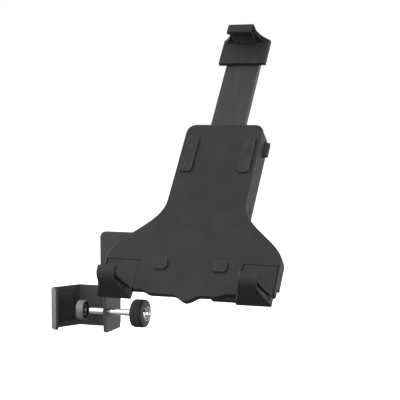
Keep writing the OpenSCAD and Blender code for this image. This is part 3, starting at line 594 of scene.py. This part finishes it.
# Knob: a grooved band between two smooth rims, with a shallow cone round the cap
BAND_R = KNOB_R - 0.3
GROOVE_R = BAND_R - 0.45
NEAR_ROUND = 1.4
FAR_ROUND = 0.8
BORE_R = 2.85
knob_body = turned(
    [(0, 3.2), (0, 9.4)] +
    turned_arc(NEAR_ROUND, BAND_R - NEAR_ROUND, NEAR_ROUND, -80, 0) +
    [(KNOB_L - 2.1, BAND_R), (KNOB_L - 2.0, GROOVE_R), (KNOB_L - 1.7, GROOVE_R), (KNOB_L - 1.6, BAND_R)] +
    turned_arc(KNOB_L - 1.3, BAND_R - 0.7, FAR_ROUND, 0, 70, 4) +
    [(KNOB_L - 0.3, 8.0), (KNOB_L - 0.12, CAP_R + 0.1), (KNOB_L - 0.3, CAP_R)] +
    [(KNOB_L - 2.0, CAP_R), (KNOB_L - 2.0, BORE_R)], steps=96)
BAND_MID_X = 5.4
BAND_RIBS = 56
band_rib = rib(7.4, 0.85, 0.3)
band_rib.transform(Matrix.Translation((BAND_MID_X, 0, BAND_R)))
band = ring(band_rib, BAND_RIBS, KNOB)
GROUND_R = CAP_R - 0.9
ground = turned([(KNOB_L - 2.0, 0.02), (KNOB_L - 2.0, GROUND_R), (KNOB_L - 0.2, GROUND_R),
                 (KNOB_L - 0.1, 0.02)])
at_knob = MM @ Matrix.Translation((KNOB_X, 0, 0))
piece("knurled_knob", [(knob_body, at_knob), (band, at_knob), (ground, at_knob)], KNOB,
      "screw", "black_plastic", "clamp_knob")

# Cap: a bright ring, beads and a boss on the dark ground
RING_OUT = CAP_R - 0.02
RING_IN = CAP_R - 1.1
BEAD_COUNT = 20
BEAD_CIRCLE = 3.5
cap_ring = turned([(0, RING_OUT), (2.0, RING_OUT), (2.5, CAP_R - 0.2), (2.85, CAP_R - 0.55),
                   (2.8, CAP_R - 0.85), (2.3, RING_IN), (0, RING_IN)], loop=True)
boss = turned([(1.0, 1.9), (2.3, 1.9), (2.7, 1.6), (2.9, 0.9), (2.9, 0.02)], steps=48)
bead = turned([(-0.3, 0.02), (-0.2, 0.25), (0.0, 0.36), (0.2, 0.25), (0.32, 0.02)], steps=12)
bead.transform(Matrix.Translation((1.9, 0, BEAD_CIRCLE)))
beads = ring(bead, BEAD_COUNT, CHROME)
at_cap = MM @ Matrix.Translation((CAP_X, 0, 0))
piece("bright_knob_roundel", [(cap_ring, at_cap), (boss, at_cap), (beads, at_cap)], CHROME,
      "screw", "chrome_steel", "knob_cap")


# -------------------------------------------------------- rubber pieces

def towards(angle, length=1.0):
    turn = math.radians(angle)
    return Vector((length * math.cos(turn), length * math.sin(turn), 0))


# Pad on the jaw: a thin sheet folded onto the front flange, with round corners and edges
PAD_T = 1.6
PAD_H = 25.5
FOLD_X = -12.4
WALL_END_X = 0.8                             # where the splayed wall meets the web
WALL_END_Y = 24
WALL_FREE = 7.0                              # bare wall between the pad and that corner
FOLD = Vector((FOLD_X, 0, 0))
WALL_L = (Vector((WALL_END_X, WALL_END_Y, 0)) - FOLD).length - WALL_FREE
FLANGE_TURN = 48

# Degrees about Z: along the wall to the fold, and from there along the flange
WALL_DIR = 270 - math.degrees(math.atan2(WALL_END_X - FOLD_X, WALL_END_Y))
FLANGE_DIR = 270 + FLANGE_TURN
FLANGE_L = 9.95
WALL_CORNER = 2.6
FLANGE_CORNER = 1.2
FLANGE_CORNER_AT = 8.8
EDGE_LIFT = 0.55                             # of the thickness, at the very edge

# Share of the thickness and of the half height, round a section
PAD_SECTION = ((0, -1), (0.5, -1), (0.82, -0.985), (1, -0.95), (1, -0.6),
               (1, 0.6), (1, 0.95), (0.82, 0.985), (0.5, 1), (0, 1))


def pad_ring(at, side, half_h):
    """A section of the pad: from the strip at point at, along side, with round inner edges."""
    return [at + side * u + Vector((0, 0, v * half_h)) for u, v in PAD_SECTION]


def corner_drop(radius, past):
    """How far a round corner falls at a point that lies past its start."""
    return radius - math.sqrt(max(radius ** 2 - max(past, 0) ** 2, 0))


rings = []
for run in (0.0, 0.25, 0.8, 1.6, 2.6, 6.0, WALL_L - 1.6):
    inward = towards(WALL_DIR + 90, PAD_T * min(1, EDGE_LIFT + run))
    drop = corner_drop(WALL_CORNER, WALL_CORNER - run)
    rings.append(pad_ring(FOLD - towards(WALL_DIR, WALL_L - run), inward, PAD_H / 2 - drop))

# The fold: its inner side starts a little off the strip's bend
FOLD_OFF = 0.35
half_turn = 1 + math.cos(math.radians(FLANGE_DIR - WALL_DIR))
mitre = (towards(WALL_DIR + 90) + towards(FLANGE_DIR + 90)) / half_turn
rings.append(pad_ring(FOLD + mitre * FOLD_OFF, mitre * (PAD_T - FOLD_OFF), PAD_H / 2))

for run in (1.6, 6.0, 8.6, 9.6, FLANGE_L):
    inward = towards(FLANGE_DIR + 90, PAD_T * min(1, EDGE_LIFT + FLANGE_L - run))
    drop = corner_drop(FLANGE_CORNER, run - FLANGE_CORNER_AT)
    rings.append(pad_ring(FOLD + towards(FLANGE_DIR, run), inward, PAD_H / 2 - drop))
piece("folded_jaw_pad", [(loft(rings), MM)], RUBBER, "clamp", "soft_rubber", "jaw_pad", angle=60)


def claw_liner(name, width, throat, lip_up, start, matrix, body, node):
    """A liner that lies on a claw's floor and goes up its lip, with ribs across."""
    floor_t = 2.0
    corner_r = 1.5
    rib_h = 0.5
    rib_w = 1.3
    rib_step = 2.0
    rib_tops = throat - 1.2                  # of the ribs on the lip
    lip_face = rib_tops + rib_h
    lip_end = lip_up - 1.2
    section = [(-floor_t, start), (-floor_t, throat - corner_r)]
    section += arc(-floor_t + corner_r, throat - corner_r, corner_r, 180, 90, 4)
    section += [(lip_end, throat), (lip_end, lip_face), (0.4, lip_face),
                (-rib_h, rib_tops - 0.4), (-rib_h, start)]
    base = softened(along_x(section, -width / 2, width / 2), 0.25)
    across = rib(width - 0.8, rib_w, rib_h)
    on_floor = across.copy()
    on_floor.transform(Matrix.Translation((0, -rib_h, start + 1.2)) @
                       Matrix.Rotation(math.radians(-90), 4, "X"))
    count = max(2, int((rib_tops - start - 1.6) / rib_step))
    floor_ribs = row(on_floor, count, (0.0, 0.0, rib_step), RUBBER)
    built = [(base, matrix), (floor_ribs, matrix)]
    if lip_up > 2.8:
        across.transform(Matrix.Translation((0, 1.5, lip_face)) @ Matrix.Rotation(math.pi, 4, "X"))
        built.append((across, matrix))
    piece(name, built, RUBBER, body, "soft_rubber", node)


for side, x in (("left", -CLAW_X), ("right", CLAW_X)):
    claw_liner(side + "_ribbed_liner", 12.6, 21.5, 2.4, 2.5, HOLDER @ Matrix.Translation((x, 0, 0)),
               "holder", side + "_claw_liner")
claw_liner("upper_ribbed_liner", 20.6, 19.0, 3.8, 3.5, TOP_END, "slider", "top_claw_liner")

# Front pads: a rim and low ribs inside it
PAD_PLACES = ((-25, 20, 12, 10), (25, 20, 12, 10), (-25, 128, 10, 36), (25, 128, 10, 36))
PAD_LEVELS = ((-0.8, 0.0), (1.5, 0.0), (1.85, 0.15), (2.0, 0.5), (1.95, 1.0), (1.5, 1.3))
PAD_CORNER = 3
PAD_FIELD_Z = 1.5
PAD_RIB_STEP = 1.8
parts = []
for x, y, width, height in PAD_PLACES:
    rings = []
    for z, inset in PAD_LEVELS:
        outline = rounded(width - 2 * inset, height - 2 * inset, max(PAD_CORNER - inset, 0.6))
        rings.append([(px + x, py + y, z) for px, py in outline])
    parts.append((loft(rings), HOLDER))
    pad_rib = rib(width - 3.2, 1.1, 0.45)
    count = int((height - 3.6) / PAD_RIB_STEP) + 1
    first_y = y - (count - 1) * PAD_RIB_STEP / 2
    pad_rib.transform(Matrix.Translation((x, first_y, PAD_FIELD_Z)))
    parts.append((row(pad_rib, count, (0.0, PAD_RIB_STEP, 0.0), RUBBER), HOLDER))
piece("ribbed_front_pads", parts, RUBBER, "holder", "soft_rubber", "front_pads")

# Ring between the rear cover and the swivel plate, with turned grooves
SWIVEL_Y = 88
COVER_BACK_Z = -20
RING_BORE = 4.1
RING_FACE = 0.98
swivel_at = HOLDER @ Matrix.Translation((0, SWIVEL_Y, COVER_BACK_Z)) @ QUARTER_Y
profile = [(0.02, RING_BORE), (0.02, 17.7), (0.2, 17.95), (0.8, 17.95), (RING_FACE, 17.7)]
for r in (15.5, 12.5, 9.5, 6.5):
    profile += [(RING_FACE, r + 0.5), (0.6, r + 0.25), (0.6, r - 0.25), (RING_FACE, r - 0.5)]
profile.append((RING_FACE, RING_BORE))
piece("grooved_swivel_ring", [(turned(profile, loop=True), swivel_at)], RUBBER,
      "holder", "soft_rubber", "swivel_washer")


# ------------------------------------------------------------ screw heads

SCREW_HEAD_D = 5.6
SCREW_D = 3.0


def pan_screw(head_h, shank_l):
    """A pan head with a cross recess. The head rises along +X from 0 and the shank goes down."""
    r = SCREW_HEAD_D / 2
    shank_r = SCREW_D / 2
    solid = turned([(-shank_l, shank_r - 0.3), (-shank_l + 0.4, shank_r), (-0.01, shank_r),
                    (0, r - 0.1), (0.15, r), (head_h * 0.45, r), (head_h * 0.8, r * 0.8),
                    (head_h, r * 0.42), (head_h, 0.02)], steps=40)
    half_w = 0.4
    half_l = r * 0.55
    slot = [(-half_w, -half_l), (half_w, -half_l), (half_w, half_l), (-half_w, half_l)]
    blades = []
    for turn in (0, 90):
        cutter = along_x(slot, head_h * 0.35, head_h + 1)
        cutter.transform(Matrix.Rotation(math.radians(turn), 4, "X"))
        blades.append(cutter)
    return minus(solid, *blades)


# Two pairs in the rear cover, whose heads sit in sunk seats
COVER_SCREW_X = 26
COVER_SCREW_Y = 22
COVER_SCREW_RISE = 96
COVER_SEAT_Z = -17.4
cover_screw_gap = (2.0 * COVER_SCREW_X, 0.0, 0.0)
lower = pan_screw(1.9, 14.5)
lower.transform(Matrix.Translation((-COVER_SCREW_X, COVER_SCREW_Y, COVER_SEAT_Z)) @ QUARTER_Y)
upper = lower.copy()
upper.transform(Matrix.Translation((0, COVER_SCREW_RISE, 0)))
screw_pairs = [row(screw, 2, cover_screw_gap, ZINC) for screw in (lower, upper)]
piece("cross_recess_cover_screws", [(pair, HOLDER) for pair in screw_pairs], ZINC,
      "holder", "zinc_steel", "cover_screws")

# A pair behind the bar, for the upper claw
BAR_SCREW_X = 8
BAR_SCREW_DROP = 12
BAR_BACK_Z = -9
bar_screw_gap = (2.0 * BAR_SCREW_X, 0.0, 0.0)
screw = pan_screw(1.6, 8.2)
screw.transform(Matrix.Translation((-BAR_SCREW_X, GRIP_H - BAR_SCREW_DROP, BAR_BACK_Z)) @ QUARTER_Y)
piece("cross_recess_bar_screws", [(row(screw, 2, bar_screw_gap, ZINC), HOLDER)], ZINC,
      "slider", "zinc_steel", "top_claw_screws")


# --------------------------------------------------- button and knob face

# Release button, with upright ribs on its side face
BUTTON_FACE_X = 38.0
BUTTON_Y = 143
BUTTON_Z = -12.75
GRIP_COUNT = 6
GRIP_STEP = 1.8
GRIP_SINK = 0.05
first_grip_y = BUTTON_Y - (GRIP_COUNT - 1) * GRIP_STEP / 2
button = softened(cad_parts["release_button"].data, 0.0005)
grip = rib(2.6, 1.0, 0.35)
grip.transform(QUARTER_Y)
grip.transform(Matrix.Translation((BUTTON_FACE_X - GRIP_SINK, first_grip_y, BUTTON_Z)))
grips = row(grip, GRIP_COUNT, (0.0, GRIP_STEP, 0.0), BLACK)
piece("ribbed_release_button", [(button, Matrix.Identity(4)), (grips, HOLDER)], BLACK,
      "button", "black_plastic", "release_button")

# Stepped cap in the middle of the tilt knob
TILT_CAP_R = 6.0
cap_lo, cap_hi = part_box("tilt_knob_cap")
mid = (cap_lo + cap_hi) / 2
face = turned([(0, TILT_CAP_R - 0.03), (0.9, TILT_CAP_R - 0.03), (1.25, TILT_CAP_R - 0.35),
               (1.4, TILT_CAP_R - 1.2), (1.1, TILT_CAP_R - 1.7),
               (1.1, 2.6), (1.45, 2.1), (1.6, 1.0), (1.6, 0.02)], steps=64)
at_tilt_cap = Matrix.Translation((cap_lo.x, mid.y, mid.z)) @ MM
piece("tilt_knob_roundel", [(face, at_tilt_cap)], KNOB, "tilt_lock", "black_plastic", "tilt_knob_cap")

# The spring inside the housing shows its CAD mesh
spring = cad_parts["button_spring"].data
spring.materials.clear()
spring.materials.append(ZINC)


# ---------------------------------------------------- floor, light, camera

def plain_sheet(name, corners):
    bm = bmesh.new()
    bm.faces.new([bm.verts.new(corner) for corner in corners])
    mesh = bpy.data.meshes.new(name)
    bm.to_mesh(mesh)
    bm.free()
    obj = bpy.data.objects.new(name, mesh)
    scene.collection.objects.link(obj)
    return obj


def pale_floor():
    """Camera rays see white with the object's shadow, and glossy rays a glow that is weak near
    the object, which is a painted shade under the object in reflections. To all other rays the floor is
    dark."""
    f = Finish("pale_floor", grey(0.12), 0.9, Specular_IOR_Level=0.0)
    f.vary_colour(f.noise(90.0, detail=2), dark=grey(0.11), light=grey(0.13))
    away = f.add("ShaderNodeVectorMath", operation="LENGTH")
    f.link(f.place, away.inputs[0])
    distance = away.outputs["Value"]
    glow = f.add("ShaderNodeEmission")
    f.link(f.ramp(distance, 0.72, 1.0, start=0.3, end=1.0), glow.inputs["Strength"])
    white = f.add("ShaderNodeBsdfDiffuse")
    white.inputs["Color"].default_value = (*grey(0.8), 1)
    seen = f.add("ShaderNodeAddShader")
    f.link(glow.outputs[0], seen.inputs[0])
    f.link(white.outputs[0], seen.inputs[1])
    # Weaker near the object: a painted shade under the object, seen only in reflections.
    mirrored = f.add("ShaderNodeEmission")
    f.link(f.ramp(distance, 0.25, 1.0, start=0.2, end=0.6), mirrored.inputs["Strength"])
    paths = f.add("ShaderNodeLightPath")
    choose = f.surface
    looks = (("Is Glossy Ray", mirrored), ("Is Transmission Ray", mirrored), ("Is Camera Ray", seen))
    for ray, look in looks:
        mix = f.add("ShaderNodeMixShader")
        f.link(paths.outputs[ray], mix.inputs[0])
        f.link(choose.outputs[0], mix.inputs[1])
        f.link(look.outputs[0], mix.inputs[2])
        choose = mix
    f.link(choose.outputs[0], f.tree.nodes["Material Output"].inputs["Surface"])
    return f.material


FLOOR_Z = -0.16
FLOOR_CORNERS = ((-6, -4), (6, -4), (6, 7), (-6, 7))
floor = plain_sheet("studio_floor", [(x, y, FLOOR_Z) for x, y in FLOOR_CORNERS])
floor.data.materials.append(pale_floor())

WORLD_LEVEL = 0.15
world = bpy.data.worlds.new("studio")
scene.world = world
world.use_nodes = True
sky = world.node_tree
background = sky.nodes["Background"]
background.inputs["Color"].default_value = (1, 1, 1, 1)


def sky_node(kind, operation=None, **inputs):
    """A node of the world. An input is named, or i0, i1 by place. Its value is a number or an output."""
    node = sky.nodes.new(kind)
    if operation:
        node.operation = operation
    for label, value in inputs.items():
        socket = node.inputs[int(label[1:]) if label[1:].isdigit() else label.replace("_", " ")]
        if isinstance(value, bpy.types.NodeSocket):
            sky.links.new(value, socket)
        else:
            socket.default_value = value
    return node


# White to the camera. Glossy rays see it darker high up behind the object, and other rays get little.
paths = sky_node("ShaderNodeLightPath")
direction = sky_node("ShaderNodeTexCoord").outputs["Generated"]
towards_sky = sky_node("ShaderNodeSeparateXYZ", Vector=direction)
high_behind = sky_node("ShaderNodeMath", "MULTIPLY",
                       i0=towards_sky.outputs["Y"], i1=towards_sky.outputs["Z"])
mirrored = sky_node("ShaderNodeMapRange", Value=high_behind.outputs[0],
                    From_Min=0.05, From_Max=0.25, To_Min=1.0, To_Max=0.15)
lit = sky_node("ShaderNodeMix", Factor=paths.outputs["Is Glossy Ray"],
               A=WORLD_LEVEL, B=mirrored.outputs["Result"])
seen = sky_node("ShaderNodeMath", "MAXIMUM",
                i0=paths.outputs["Is Camera Ray"], i1=paths.outputs["Is Transmission Ray"])
level = sky_node("ShaderNodeMix", Factor=seen.outputs[0], A=lit.outputs["Result"], B=1.0)
sky.links.new(level.outputs["Result"], background.inputs["Strength"])

# Soft panels that aim at the clamp and holder: place, width and height in metres, power
LAMP_AIM = Vector((0.1, 0, 0.05))
LAMPS = (
    ("left_back_panel", (-1.6, 0.6, 0.5), (1.0, 1.4), 30),
    ("left_front_panel", (-1.3, -1.1, 1.1), (1.0, 1.4), 26),
    ("right_back_panel", (1.7, 0.8, 0.5), (1.0, 1.4), 22),
    ("right_front_panel", (1.5, -0.9, 1.1), (1.0, 1.4), 9),
    ("top_panel", (0.1, 0.3, 1.9), (2.0, 2.0), 5),
    ("front_panel", (0.3, -2.0, 0.9), (1.6, 1.2), 23),
)
for name, at, (wide, high), power in LAMPS:
    light = bpy.data.lights.new(name, "AREA")
    light.shape = "RECTANGLE"
    light.size = wide
    light.size_y = high
    light.energy = power
    lamp = bpy.data.objects.new(name, light)
    scene.collection.objects.link(lamp)
    lamp.location = at
    lamp.rotation_euler = (LAMP_AIM - Vector(at)).to_track_quat("-Z", "Y").to_euler()

# The photograph's view, solved from the tablet's four corners
CAMERA_AT = (0.44257, -0.88463, 0.16515)
CAMERA_LOOKS = Vector((-0.3413, 0.9371, -0.0736))
CAMERA_LENS_MM = 105.05
camera_data = bpy.data.cameras.new("photo_view")
camera_data.lens = CAMERA_LENS_MM
camera_data.sensor_width = 36
camera_data.sensor_fit = "HORIZONTAL"
camera_data.clip_end = 50
camera = bpy.data.objects.new("photo_view", camera_data)
scene.collection.objects.link(camera)
camera.location = CAMERA_AT
camera.rotation_euler = CAMERA_LOOKS.to_track_quat("-Z", "Y").to_euler()
scene.camera = camera
scene.view_settings.view_transform = "Standard"
